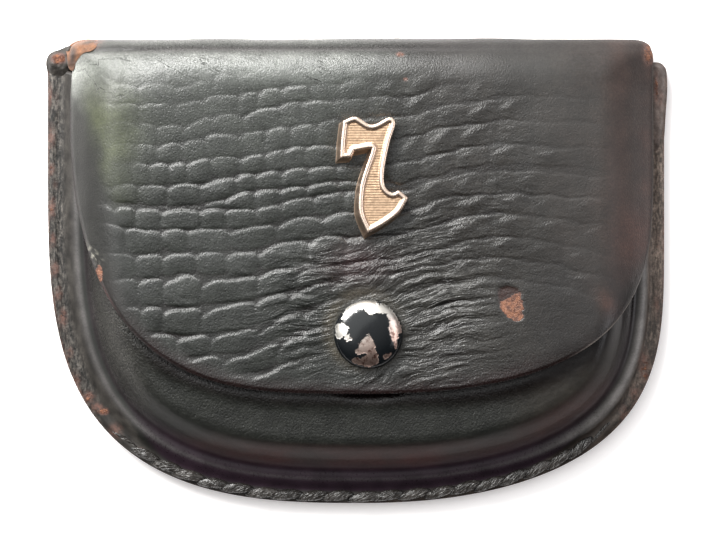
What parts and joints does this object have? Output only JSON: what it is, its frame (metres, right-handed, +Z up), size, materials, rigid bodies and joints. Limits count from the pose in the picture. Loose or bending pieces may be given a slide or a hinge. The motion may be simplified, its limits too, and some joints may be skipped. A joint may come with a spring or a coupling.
{
  "type": "wallet",
  "caption": "Small D-shaped leather coin wallet lying on its back, with a moulded pocket, a folded-over flap held by a snap, and a metal numeral on the flap.",
  "frame": {"origin": "on the surface that it lies on, under the middle of its box", "axes": "+X along the width, to the right of the numeral; +Y towards the fold at the top of the flap; +Z up, out of the flap"},
  "size_m": [0.1098, 0.0825, 0.0163],
  "materials": {
    "embossed_leather": "semi-gloss, crocodile-embossed, worn brown at the edges",
    "moulded_leather": "semi-gloss, pebbled, worn reddish brown on the shoulder",
    "black_enamel": "gloss, chipped to bright steel",
    "plated_steel": "plain",
    "gilt_brass": "polished rim, ribbed field"
  },
  "bodies": {
    "root": {"back_and_flap": "embossed_leather", "front_pocket": "moulded_leather", "snap_cap": "black_enamel", "snap_stud": "plated_steel", "numeral_seven": "gilt_brass"}
  },
  "joints": []
}
